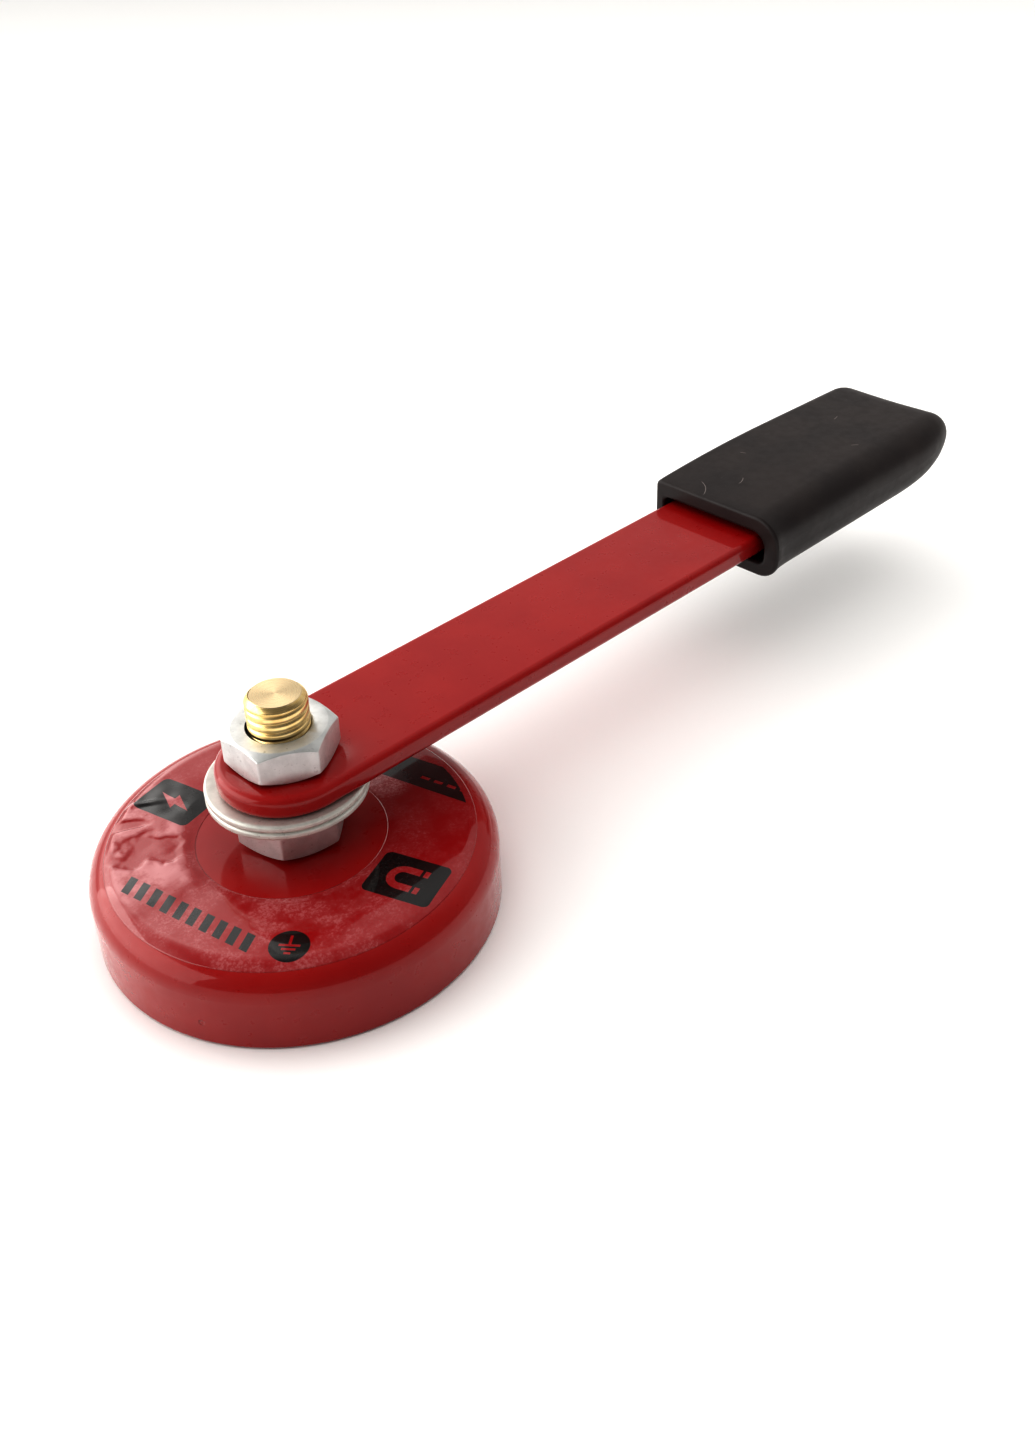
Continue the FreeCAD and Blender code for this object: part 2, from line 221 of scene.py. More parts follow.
class Tree:
    """Short calls that add nodes to a node tree and return their outputs."""

    def __init__(self, tree):
        self.nodes = tree.nodes
        self.links = tree.links
        self.nodes.clear()

    def add(self, kind, inputs=(), output=0, **settings):
        """A node with its settings, and inputs given as (socket, value or output)."""
        node = self.nodes.new(kind)
        for key, value in settings.items():
            setattr(node, key, value)
        for socket, value in inputs:
            self.feed(node.inputs[socket], value)
        return node.outputs[output]

    def feed(self, socket, value):
        if isinstance(value, bpy.types.NodeSocket):
            self.links.new(value, socket)
        else:
            socket.default_value = value

    def math(self, operation, *values):
        return self.add("ShaderNodeMath", list(enumerate(values)), operation=operation)

    def vector(self, operation, *values):
        return self.add("ShaderNodeVectorMath", list(enumerate(values)), operation=operation)

    def length(self, value):
        return self.add("ShaderNodeVectorMath", [(0, value)], "Value", operation="LENGTH")

    def span(self, value, low, high, to_low=0.0, to_high=1.0, smooth=True):
        """value moved from low..high to to_low..to_high."""
        kind = "SMOOTHSTEP" if smooth else "LINEAR"
        inputs = [("Value", value), ("From Min", low), ("From Max", high),
                  ("To Min", to_low), ("To Max", to_high)]
        return self.add("ShaderNodeMapRange", inputs, interpolation_type=kind)

    def mix(self, factor, first, second):
        return self.add("ShaderNodeMix", [(0, factor), (6, first), (7, second)], 2, data_type="RGBA")

    def noise(self, place, scale, detail=3.0, roughness=0.55, distortion=0.0):
        inputs = [("Vector", place), ("Scale", scale), ("Detail", detail),
                  ("Roughness", roughness), ("Distortion", distortion)]
        return self.add("ShaderNodeTexNoise", inputs)

    def split(self, place):
        node = self.nodes.new("ShaderNodeSeparateXYZ")
        self.links.new(place, node.inputs[0])
        return node.outputs

    def join(self, x=0.0, y=0.0, z=0.0):
        return self.add("ShaderNodeCombineXYZ", [(0, x), (1, y), (2, z)])

    def moved(self, place, centre, angle=0.0, scale=(1, 1, 1)):
        """place seen from an origin at centre whose X axis is turned by angle."""
        inputs = [("Vector", place), ("Location", (*centre, 0)[:3]),
                  ("Rotation", (0, 0, angle)), ("Scale", scale)]
        return self.add("ShaderNodeMapping", inputs, vector_type="TEXTURE")


class Finish(Tree):
    """A procedural material. Its place output is the object's own place in millimetres."""

    def __init__(self, name, **constants):
        self.material = bpy.data.materials.new(name)
        self.material.use_nodes = True
        super().__init__(self.material.node_tree)
        self.shader = self.nodes.new("ShaderNodeBsdfPrincipled")
        output = self.nodes.new("ShaderNodeOutputMaterial")
        self.links.new(self.shader.outputs[0], output.inputs["Surface"])
        for key, value in constants.items():
            self.set(key.replace("_", " "), value)
        local = self.add("ShaderNodeTexCoord", output="Object")
        self.place = self.add("ShaderNodeVectorMath", [(0, local), ("Scale", 1 / MM)], operation="SCALE")

    def set(self, socket, value):
        self.feed(self.shader.inputs[socket], value)

    def bump(self, *layers):
        """Bumps in millimetres, each (height, depth), one upon the other."""
        normal = None
        for height, depth in layers:
            inputs = [("Height", height), ("Distance", depth * MM), ("Strength", 1.0)]
            if normal is not None:
                inputs.append(("Normal", normal))
            normal = self.add("ShaderNodeBump", inputs)
        self.set("Normal", normal)
        return normal


# ---------------------------------------------------------------------------
# Materials
# ---------------------------------------------------------------------------


def red_enamel(name):
    """Thick red enamel with a wavy skin, and one pit in the cup's wall."""
    finish = Finish(name, Coat_Weight=1.0, Coat_Roughness=0.03, Coat_IOR=1.36, IOR=1.3)
    place = finish.place
    tone = finish.noise(place, 0.09, 4.0)
    tint = finish.mix(finish.span(tone, 0.3, 0.7), (0.285, 0.002, 0.003, 1), (0.315, 0.006, 0.005, 1))
    finish.set("Base Color", tint)
    finish.set("Roughness", finish.span(finish.noise(place, 0.5, 5.0), 0.3, 0.7, 0.26, 0.42))
    around = math.radians(207)
    pit = (CUP_RADIUS * math.cos(around), CUP_RADIUS * math.sin(around), 3.3)
    dimple = finish.span(finish.length(finish.vector("SUBTRACT", place, pit)), 0.5, 0.2)
    waves = finish.noise(place, 0.16, 2.0, 0.4)
    peel = finish.noise(place, 0.9, 1.0, 0.4)
    finish.bump((waves, 0.03), (peel, 0.003), (dimple, -0.2))
    return finish.material


def zinc_steel(name, shade, metallic, roughness):
    """Zinc plated steel, tumbled to a satin skin, with faint tool lines, stains and scuffs."""
    finish = Finish(name, Metallic=metallic)
    place = finish.place
    light = [level * 1.16 for level in shade]
    stained = [level * 0.72 for level in shade]
    cloud = finish.noise(place, 0.5, 5.0, 0.6)
    tint = finish.mix(finish.span(cloud, 0.3, 0.7), (*shade, 1), (*light, 1))
    stain = finish.span(finish.noise(place, 1.3, 5.0, 0.7), 0.60, 0.74)
    scuff = finish.noise(finish.moved(place, (0, 0, 0), 0.7, (1.0, 6.0, 1.5)), 1.6, 2.0)
    scuff = finish.span(finish.math("ABSOLUTE", finish.math("SUBTRACT", scuff, 0.34)), 0.006, 0.002)
    worn = finish.math("MAXIMUM", stain, finish.math("MULTIPLY", scuff, 0.8))
    finish.set("Base Color", finish.mix(worn, tint, (*stained, 1)))
    finish.set("Roughness", finish.span(finish.noise(place, 1.1, 5.0, 0.65), 0.3, 0.7, *roughness))
    streaks = finish.noise(finish.moved(place, (0, 0, 0), 0.4, (5, 0.25, 5)), 1.0, 3.0)
    dents = finish.noise(place, 0.7, 2.0)
    grain = finish.noise(place, 7.0, 2.0)
    finish.bump((dents, 0.012), (streaks, 0.003), (grain, 0.0015), (scuff, -0.004))
    return finish.material


def turned_brass(name):
    """Brass with rings from the lathe on its faces, fine lines round its shank, and a painted highlight on
    its top face.
    """
    finish = Finish(name, Metallic=1.0, Anisotropic=0.6)
    finish.set("Tangent", finish.add("ShaderNodeTangent", direction_type="RADIAL", axis="Z"))
    place = finish.place
    x, y, z = finish.split(place)
    radius = finish.length(finish.join(x, y))
    cloud = finish.noise(place, 0.7, 4.0)
    tint = finish.mix(finish.span(cloud, 0.3, 0.7), (0.80, 0.58, 0.26, 1), (0.92, 0.72, 0.38, 1))
    # Painted highlight: the top face is coloured lighter and paler than the shank, standing in for the
    # bright room it reflects
    top_highlight = finish.span(z, stud_high.z - 0.06, stud_high.z - 0.02)
    finish.set("Base Color", finish.mix(top_highlight, tint, (0.86, 0.70, 0.46, 1)))
    rings = finish.noise(finish.join(radius, 0.0, 0.0), 7.0, 3.0, 0.6)
    lines = finish.noise(finish.join(0.0, 0.0, z), 9.0, 3.0, 0.6)
    finish.set("Roughness", finish.span(rings, 0.3, 0.7, 0.22, 0.34))
    finish.bump((rings, 0.003), (lines, 0.002))
    return finish.material


# Scratches on top of the grip: centre, turn in radians, half length, bend
SCRATCHES = (
    ((88.9, 3.3), 0.75, 2.6, 0.10),
    ((94.6, 0.2), 0.35, 1.3, 0.16),
    ((118.0, -6.0), 2.4, 0.8, 0.05),
    ((103.0, 6.5), 1.9, 0.6, -0.1),
    ((125.5, 3.0), 0.2, 0.9, 0.08),
)


def dipped_vinyl(name):
    """Black dipped vinyl, satin, with a rippled skin and a few pale scratches."""
    finish = Finish(name, IOR=1.4)
    place = finish.place
    cloud = finish.noise(place, 0.12, 4.0)
    dark, pale = (0.021, 0.0155, 0.0155, 1), (0.029, 0.0215, 0.0205, 1)
    tint = finish.mix(finish.span(cloud, 0.35, 0.65), dark, pale)
    scratch = None
    for centre, angle, length, bend in SCRATCHES:
        along, across, _ = finish.split(finish.moved(place, centre, angle))
        curve = finish.math("MULTIPLY", finish.math("MULTIPLY", along, along), bend)
        off = finish.math("ABSOLUTE", finish.math("SUBTRACT", across, curve))
        line = finish.math("MULTIPLY", finish.span(off, 0.09, 0.02),
                           finish.span(finish.math("ABSOLUTE", along), length, length * 0.6))
        scratch = line if scratch is None else finish.math("MAXIMUM", scratch, line)
    on_top = finish.span(finish.split(place)[2], bar_high.z + 0.5, bar_high.z + 1.5)
    scratch = finish.math("MULTIPLY", scratch, on_top)
    grit = finish.span(finish.noise(place, 3.1, 2.0), 0.74, 0.78)
    mark = finish.math("MAXIMUM", scratch, finish.math("MULTIPLY", grit, 0.4))
    finish.set("Base Color", finish.mix(mark, tint, (0.20, 0.17, 0.16, 1)))
    finish.set("Roughness", finish.span(finish.noise(place, 0.6, 5.0, 0.6), 0.3, 0.7, 0.36, 0.44))
    ripple = finish.noise(finish.moved(place, (0, 0, 0), 0.0, (3.0, 1.0, 1.0)), 0.35, 2.0)
    grain = finish.noise(place, 4.0, 3.0)
    finish.bump((ripple, 0.012), (grain, 0.0009), (scratch, -0.02))
    return finish.material


def ground_ferrite(name):
    """Dull grey ceramic with grinding lines and pits."""
    finish = Finish(name, Metallic=0.35, IOR=1.9)
    place = finish.place
    lines = finish.noise(finish.moved(place, (0, 0, 0), 0.5, (12, 0.4, 1)), 1.2, 4.0, 0.7)
    pits = finish.span(finish.noise(place, 1.4, 3.0), 0.68, 0.74)
    tint = finish.mix(finish.span(lines, 0.3, 0.7), (0.050, 0.050, 0.054, 1), (0.085, 0.085, 0.090, 1))
    finish.set("Base Color", finish.mix(pits, tint, (0.02, 0.02, 0.02, 1)))
    finish.set("Roughness", finish.span(lines, 0.3, 0.7, 0.42, 0.62))
    finish.bump((lines, 0.01), (pits, -0.05))
    return finish.material


def cast_resin(name):
    """Black casting resin with a wavy face and small bubbles."""
    finish = Finish(name, IOR=1.52)
    place = finish.place
    cloud = finish.noise(place, 0.3, 3.0)
    bubbles = finish.span(finish.noise(place, 1.9, 0.0), 0.74, 0.78)
    tint = finish.mix(cloud, (0.012, 0.012, 0.014, 1), (0.03, 0.03, 0.033, 1))
    finish.set("Base Color", finish.mix(bubbles, tint, (0.06, 0.06, 0.065, 1)))
    finish.set("Roughness", finish.span(cloud, 0.3, 0.7, 0.12, 0.3))
    finish.bump((cloud, 0.12), (bubbles, -0.05))
    return finish.material


class Print(Finish):
    """A finish with flat black marks, each a mask of 0 or 1."""

    SOFT = 0.05

    def block(self, centre, size, angle=0.0, corner=0.0):
        """A rounded rectangle."""
        x, y, _ = self.split(self.moved(self.place, centre, angle))
        beyond = []
        for value, full in zip((x, y), size):
            value = self.math("SUBTRACT", self.math("ABSOLUTE", value), full / 2 - corner)
            beyond.append(self.math("MAXIMUM", value, 0.0))
        off = self.math("SUBTRACT", self.length(self.join(*beyond)), corner)
        return self.span(off, self.SOFT, -self.SOFT if corner else 0.0)

    def distance(self, centre):
        x, y, _ = self.split(self.moved(self.place, centre))
        return self.length(self.join(x, y))

    def disc(self, centre, radius):
        return self.span(self.distance(centre), radius + self.SOFT, radius - self.SOFT)

    def ring(self, centre, inner, outer):
        return self.without(self.disc(centre, outer), self.disc(centre, inner))

    def polygon(self, centre, angle, corners):
        """A convex outline; its corners run anticlockwise."""
        x, y, _ = self.split(self.moved(self.place, centre, angle))
        inside = None
        for (ax, ay), (bx, by) in zip(corners, corners[1:] + corners[:1]):
            length = math.hypot(bx - ax, by - ay)
            nx, ny = -(by - ay) / length, (bx - ax) / length
            depth = self.math("ADD", self.math("MULTIPLY", x, nx), self.math("MULTIPLY", y, ny))
            edge = self.span(self.math("SUBTRACT", depth, ax * nx + ay * ny), -self.SOFT, self.SOFT)
            inside = edge if inside is None else self.math("MINIMUM", inside, edge)
        return inside

    def both(self, first, *others):
        for other in others:
            first = self.math("MINIMUM", first, other)
        return first

    def either(self, first, *others):
        for other in others:
            first = self.math("MAXIMUM", first, other)
        return first

    def without(self, first, *others):
        for other in others:
            first = self.math("MULTIPLY", first, self.math("SUBTRACT", 1.0, other))
        return first


def along_axis(centre, angle, along, across):
    """The point that lies along and across an axis that starts at centre."""
    return (centre[0] + along * math.cos(angle) - across * math.sin(angle),
            centre[1] + along * math.sin(angle) + across * math.cos(angle))


def magnet_card(finish):
    """Right block: a horseshoe magnet."""
    centre, angle = (3.8, -18.3), math.radians(21)

    def bar(across, up, size):
        return finish.block(along_axis(centre, angle, across, up), size, angle)

    card = finish.block(centre, (7.6, 9.4), angle, 0.9)
    bend = along_axis(centre, angle, 0, 0.6)
    arch = finish.both(finish.ring(bend, 1.0, 2.1), bar(0, 2.1, (4.4, 3.0)))
    legs = [bar(side * 1.55, -0.9, (1.1, 3.0)) for side in (-1, 1)]
    gaps = [bar(side * 1.55, -1.5, (1.6, 0.35)) for side in (-1, 1)]
    return finish.without(card, finish.without(finish.either(arch, *legs), *gaps))


def bolt_card(finish):
    """Left block: a plain bolt."""
    centre, angle = (-7.9, 16.2), math.radians(15)
    card = finish.block(centre, (7.0, 9.4), angle, 0.9)
    upper = finish.polygon(centre, angle, [(0.75, 2.9), (-1.35, -0.35), (0.35, -0.35)])
    lower = finish.polygon(centre, angle, [(-0.75, -2.9), (1.35, 0.35), (-0.35, 0.35)])
    return finish.without(card, upper, lower)


def dashed_band(finish):
    """Band at the back, cut off near the label's rim, with a row of dashes."""
    centre, angle = (19.9, -6.0), math.radians(-74)
    card = finish.block(centre, (17.0, 5.2), angle, 0.4)
    card = finish.both(card, finish.disc(LABEL_CENTRE, LABEL_RADIUS - 1.0))
    dashes = []
    for step in range(4):
        place = along_axis(centre, angle, -1.5 + 2.1 * step, -0.6)
        dashes.append(finish.block(place, (1.3, 0.5), angle))
    return finish.without(card, *dashes)


def stroke_row(finish):
    """Row of slanted strokes at the front."""
    start, angle = (-21.4, 7.0), math.radians(-76.5)
    row_length, stroke_pitch, slant = 21.5, 2.15, 0.3
    along, across, _ = finish.split(finish.moved(finish.place, start, angle))
    slanted = finish.math("ADD", along, finish.math("MULTIPLY", across, slant))
    phase = finish.math("FRACT", finish.math("DIVIDE", slanted, stroke_pitch))
    stroke = finish.span(finish.math("ABSOLUTE", finish.math("SUBTRACT", phase, 0.5)), 0.30, 0.26)
    tall = finish.span(finish.math("ABSOLUTE", across), 1.4, 1.3)
    started = finish.span(along, 0.0, 0.1)
    unfinished = finish.span(along, row_length, row_length - 0.1)
    return finish.both(stroke, tall, started, unfinished)


def earth_mark(finish):
    """Round mark with an earth sign, at the end of the row of strokes."""
    centre, angle = (-13.5, -17.0), math.radians(-50)
    thick = 0.32
    sign = [finish.block(along_axis(centre, angle, 0, 0.9), (thick, 1.6), angle)]
    for step in range(3):
        place = along_axis(centre, angle, 0, 0.1 - 0.65 * step)
        sign.append(finish.block(place, (2.6 - 0.9 * step, thick), angle))
    return finish.without(finish.disc(centre, 2.5), *sign)


def printed_film(name):
    """Clear glossy film over red print, hazy with trapped air, with a painted sheen where it stands off, and
    plain black marks.
    """
    finish = Print(name, Coat_Weight=1.0, Coat_Roughness=0.04, Coat_IOR=1.5, IOR=1.35)
    place = finish.place
    marks = finish.either(magnet_card(finish), bolt_card(finish), dashed_band(finish),
                          stroke_row(finish), earth_mark(finish))

    # Frost where the glue lets go: fine all over, strong beside the washers. Where the film stands off it is
    # painted pale, a painted sheen for the glare on the raised film
    seat = CUP_TOP + FILM
    haze = finish.span(finish.noise(place, 0.16, 4.0, 0.65), 0.38, 0.62)
    specks = finish.span(finish.noise(place, 2.4, 8.0, 0.8), 0.42, 0.72, 0.18, 1.0)
    patch = finish.span(finish.distance((14.6, -1.2)), 4.5, 1.0)
    stands_off = finish.span(finish.split(place)[2], seat + 0.05, seat + 0.19)
    front = finish.span(finish.distance((-13, -12)), 22.0, 6.0, 0.2, 0.55)
    # Painted sheen: patches of pale colour on the raised film stand in for glare
    plateau_sheen = finish.span(finish.noise(place, 0.3, 4.0, 0.6), 0.38, 0.60, 0.12, 0.60)
    faint = finish.math("MULTIPLY", finish.math("MULTIPLY", haze, specks), front)
    strong = finish.math("MULTIPLY", finish.math("MULTIPLY", patch, specks), 1.4)
    frost_and_sheen = finish.either(faint, strong, finish.math("MULTIPLY", stands_off, plateau_sheen))

    # The pale pink colour and the lighter ink are real frost in the film, and on the raised film also the
    # painted sheen
    red = finish.mix(frost_and_sheen, (0.27, 0.002, 0.004, 1), (0.60, 0.30, 0.31, 1))
    ink = finish.mix(frost_and_sheen, (0.004, 0.003, 0.003, 1), (0.05, 0.045, 0.045, 1))
    finish.set("Base Color", finish.mix(marks, red, ink))
    finish.set("Roughness", finish.span(frost_and_sheen, 0.0, 0.6, 0.24, 0.5))
    waves = finish.noise(place, 0.25, 2.0, 0.5)
    bubbles = finish.span(finish.noise(place, 1.1, 2.0), 0.66, 0.78)
    stuck = finish.math("MULTIPLY", finish.math("SUBTRACT", 1.0, stands_off), finish.noise(place, 2.2, 2.0))
    finish.bump((waves, 0.03), (bubbles, 0.01), (stuck, 0.006))
    return finish.material


enamel = red_enamel("red_enamel")
bright_zinc = zinc_steel("bright_zinc", (0.62, 0.625, 0.62), 0.8, (0.42, 0.54))
dull_zinc = zinc_steel("dull_zinc", (0.59, 0.58, 0.545), 0.7, (0.46, 0.58))
brass = turned_brass("turned_brass")
vinyl = dipped_vinyl("dipped_vinyl")
film = printed_film("printed_film")

for node, material in (
    ("magnet_cup", enamel), ("lower_washer", dull_zinc), ("upper_washer", dull_zinc),
    ("ring_magnet", ground_ferrite("ground_ferrite")), ("potting_resin", cast_resin("cast_resin")),
):
    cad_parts[node].material_slots[0].material = material


# ---------------------------------------------------------------------------
# Threads, stud and nuts
# ---------------------------------------------------------------------------

# One pitch of the thread, as (share of the pitch, share of the depth)
THREAD_SHAPE = ((0.0, 0.0), (0.05, 0.18), (0.17, 0.84), (0.24, 1.0), (0.50, 1.0), (0.76, 1.0),
                (0.83, 0.84), (0.95, 0.18))


def thread(low, high, limit, pick, grow, segments, start=0.0):
    """A right-hand helical thread between two heights, cut by the limit radius at each height.

    pick is min for a thread on a shank and max for a thread in a hole. grow moves the thread outward.
    """
    rows_per_pitch = len(THREAD_SHAPE)
    turns = math.ceil((high - low) / PITCH) + 2
    base = (math.floor(low / PITCH) - 1) * PITCH - start / TURN * PITCH
    points = []
    for row in range(turns * rows_per_pitch + 1):
        share, depth = THREAD_SHAPE[row % rows_per_pitch]
        radius = STUD_ROOT + (STUD_RADIUS - STUD_ROOT) * depth + grow
        for i in range(segments):
            angle = start + TURN * i / segments
            height = base + PITCH * (row // rows_per_pitch + share + angle / TURN)
            height = min(max(height, low), high)
            reach = pick(radius, limit(height))
            points.append(Vector((reach * math.cos(angle), reach * math.sin(angle), height)))

    def at(row, i):
        return (row + i // segments * rows_per_pitch) * segments + i % segments

    faces = []
    for row in range((turns - 1) * rows_per_pitch):
        for i in range(segments):
            faces.append((at(row, i), at(row, i + 1), at(row + 1, i + 1), at(row + 1, i)))
    return points, faces


def slope(low, high, radius, rise):
    """A limit that is radius at both ends and changes by rise per millimetre away from them."""

    def limit(height):
        nearest = min(height - low, high - height)
        return radius + nearest * rise

    return limit


def make_stud():
    """Turned brass foot and its threaded stud."""
    foot = rounded([
        (0, stud_low.z, 0), (FOOT_RADIUS, stud_low.z, 0.5), (FOOT_RADIUS, FOOT_TOP, 0.3),
        (STUD_TIP_RADIUS, FOOT_TOP, 0.2), (STUD_TIP_RADIUS, NECK_TOP, 0),
    ], closed=False)
    limit = slope(NECK_TOP, stud_high.z, STUD_TIP_RADIUS, STUD_TIP_RISE)
    shank = thread(NECK_TOP, stud_high.z, limit, min, 0.0, STUD_SEGMENTS)
    tip = [(STUD_TIP_RADIUS * share, stud_high.z) for share in (1.0, 0.97, 0.8, 0.6, 0.4, 0.2, 0.0)]
    piece("contact_stud_turned", [turned(foot, STUD_SEGMENTS), shank, turned(tip, STUD_SEGMENTS)],
          "magnet_head", brass, ["contact_stud"])


def nut_reach(angle):
    """Distance from the axis to a hexagon with rounded corners; angle 0 is a corner."""
    from_corner = (angle + math.pi / 6) % (math.pi / 3) - math.pi / 6
    away = (NUT_FLATS / 2 - NUT_CORNER_ROUND) / math.cos(math.pi / 6)
    meets = math.atan2(NUT_CORNER_ROUND / 2, away + NUT_CORNER_ROUND * math.cos(math.pi / 6))
    if abs(from_corner) < meets:
        across = away * math.sin(from_corner)
        return away * math.cos(from_corner) + math.sqrt(NUT_CORNER_ROUND ** 2 - across ** 2)
    return NUT_FLATS / 2 / math.cos(math.pi / 6 - abs(from_corner))


def make_nut(name, low, high, turn, flat, body, node):
    """Hexagon nut with chamfered, softened corners and a real thread."""
    rings = []
    for i in range(NUT_SEGMENTS):
        angle = TURN * i / NUT_SEGMENTS
        reach = nut_reach(angle)
        drop = (reach - flat) * math.tan(NUT_CHAMFER)
        section = rounded([
            (NUT_SINK, high, 0), (flat, high, 0.3), (reach, high - drop, 0.18),
            (reach, low + drop, 0.18), (flat, low, 0.3), (NUT_SINK, low, 0),
        ], closed=False, steps=4)
        way = Vector((math.cos(angle + turn), math.sin(angle + turn), 0))
        rings.append([way * radius + Vector((0, 0, height)) for radius, height in section])
    outside = skin(rings, ring_closed=False, rows_closed=True)
    limit = slope(low, high, NUT_SINK, NUT_SINK_RISE)
    inside = thread(low, high, limit, max, THREAD_CLEARANCE, NUT_SEGMENTS, turn)
    piece(name, [outside, inside], body, bright_zinc, [node])


make_stud()
make_nut("clamp_nut_threaded", clamp_low.z, clamp_high.z, CLAMP_NUT_TURN, CLAMP_NUT_FLAT,
         "nut", "clamp_nut")
make_nut("jam_nut_threaded", jam_low.z, jam_high.z, JAM_NUT_TURN, JAM_NUT_FLAT,
         "magnet_head", "jam_nut")


# ---------------------------------------------------------------------------
# Label
# ---------------------------------------------------------------------------


def cup_height_at(radius):
    """Height of the cup's outside at a distance from its axis."""
    over = max(0.0, radius - (CUP_RADIUS - CUP_SHOULDER))
    return CUP_TOP - CUP_SHOULDER + math.sqrt(CUP_SHOULDER ** 2 - over ** 2)


# Where the raised film still sticks: centre, half sizes, turn
STUCK_SPOTS = (
    ((-15.6, 10.4), (4.9, 3.0), math.radians(-27)),
    ((-14.9, 16.4), (2.2, 0.9), math.radians(-35)),
)
CREASE = (Vector((-15.0, 21.2)), Vector((-7.5, 16.5)))
CREASE_HEIGHT = 0.22
CREASE_HALF_WIDTH = 0.75
# The film is loose about this direction, in degrees, and fully stuck beyond the wider angle
LOOSE_DIRECTION = 142
LOOSE_FULLY = 22
LOOSE_LIMIT = 48
LOOSE_FROM = 13.4
LOOSE_HEIGHT = 0.18


def film_lift(x, y):
    """How far trapped air and a crease hold the film off the cup."""
    place = Vector((x, y))
    angle = math.degrees(math.atan2(y, x)) % 360
    side = smooth_step(abs(angle - LOOSE_DIRECTION), LOOSE_LIMIT, LOOSE_FULLY)
    inner = min(1.0, max(0.0, (place.length - LOOSE_FROM) / 2))
    wobble = 0.75 * noise.noise(Vector((x * 0.38, y * 0.38, 3.1)))
    wobble += 0.12 * noise.noise(Vector((x * 1.2, y * 1.2, 7.7)))
    off = 1.0
    for centre, (across, up), turn in STUCK_SPOTS:
        local = Matrix.Rotation(-turn, 2) @ (place - Vector(centre))
        off = min(off, math.hypot(local.x / across, local.y / up) - 1 + wobble)
    raised = smooth_step(off, -0.25, 0.35)
    start, end = CREASE
    share = min(1.0, max(0.0, (place - start).dot(end - start) / (end - start).length_squared))
    crease = smooth_step((place - start.lerp(end, share)).length, CREASE_HALF_WIDTH, 0.0)
    crease *= CREASE_HEIGHT * math.sin(math.pi * (0.15 + 0.8 * share))
    swell = 0.07 * noise.noise(Vector((x * 0.45, y * 0.45, 1.3)))
    calm = 0.01 + 0.012 * noise.noise(Vector((x * 0.2, y * 0.2, 5.0)))
    return max(0.0, calm + (LOOSE_HEIGHT * raised + swell) * side * inner + crease)


def make_label():
    """Thin film ring over the cup's top and the start of its shoulder, stuck down at both edges."""
    segments = 480
    steps = 80
    edge_steps = 8
    edge_thickness = 0.3
    sunk = 0.01
    over, under = [], []
    for step in range(steps + 1):
        reach = LABEL_HOLE + (LABEL_RADIUS - LABEL_HOLE) * step / steps
        from_edge = smooth_step(min(step, steps - step), 0, edge_steps)
        thickness = FILM * (edge_thickness + (1 - edge_thickness) * from_edge)
        top, low = [], []
        for i in range(segments):
            angle = TURN * i / segments
            x = LABEL_CENTRE.x + reach * math.cos(angle)
            y = LABEL_CENTRE.y + reach * math.sin(angle)
            seat = cup_height_at(math.hypot(x, y)) + film_lift(x, y) * from_edge
            top.append(Vector((x, y, seat + thickness)))
            low.append(Vector((x, y, seat - sunk)))
        over.append(top)
        under.append(low)
    piece("label_film", [skin(over + under[::-1], rows_closed=True)], "magnet_head", film,
          ["label_ring"])


make_label()


# ---------------------------------------------------------------------------
# Grip sleeve
# ---------------------------------------------------------------------------

# For each side: how far the body lies inside the box of the CAD sleeve, how far the mouth does, over
# which length the mouth blends into the body, and the length and depth of the round at the closed end.
SLEEVE_SIDES = {
    "near": (0.6, 0.0, 6.0, 13.0, 3.6),
    "far": (0.0, 0.8, 32.0, 4.0, 2.4),
    "bottom": (0.0, 0.0, 6.0, 18.0, 5.2),
    "top": (0.0, 0.7, 28.0, 5.0, 2.4),
}
# Corner radii at the mouth and at the closed end: near bottom, far bottom, far top, near top
SLEEVE_CORNERS = ((3.7, 4.0), (1.5, 4.0), (0.9, 2.6), (4.6, 5.5))
SLEEVE_BORE_CORNERS = (1.0, 1.0, 1.0, 2.6)


def rounded_box(low, high, radii, side_steps=10, arc_steps=8):
    """Points (y, z) of a rectangle whose four corners have their own radii, from low y and low z round."""
    corners = ((low[0], low[1]), (high[0], low[1]), (high[0], high[1]), (low[0], high[1]))
    inward = ((1, 1), (-1, 1), (-1, -1), (1, -1))
    most = min(high[0] - low[0], high[1] - low[1]) / 2 * 0.98
    arcs = []
    for index in range(4):
        radius = min(radii[index], most)
        centre = Vector(corners[index]) + radius * Vector(inward[index])
        angles = [math.pi * (1 + index / 2 + step / arc_steps / 2) for step in range(arc_steps + 1)]
        arcs.append([centre + radius * Vector((math.cos(a), math.sin(a))) for a in angles])
    points = []
    for arc, following in zip(arcs, arcs[1:] + arcs[:1]):
        points += arc
        points += [arc[-1].lerp(following[0], step / side_steps) for step in range(1, side_steps)]
    return points


def sleeve_outside(x):
    """Outline (y, z) of the sleeve's outside at a station."""
    inset = {}
    for side, (body, mouth, blend, round_length, round_depth) in SLEEVE_SIDES.items():
        flare = max(0.0, 1 - (x - sleeve_low.x) / blend) ** 2
        along = max(0.0, (x - sleeve_high.x) / round_length + 1)
        inset[side] = body + (mouth - body) * flare + round_depth * (1 - math.sqrt(max(0.0, 1 - along ** 2)))
    share = (x - sleeve_low.x) / (sleeve_high.x - sleeve_low.x)
    return rounded_box(
        (sleeve_low.y + inset["near"], sleeve_low.z + inset["bottom"]),
        (sleeve_high.y - inset["far"], sleeve_high.z - inset["top"]),
        [mouth + (end - mouth) * share for mouth, end in SLEEVE_CORNERS])


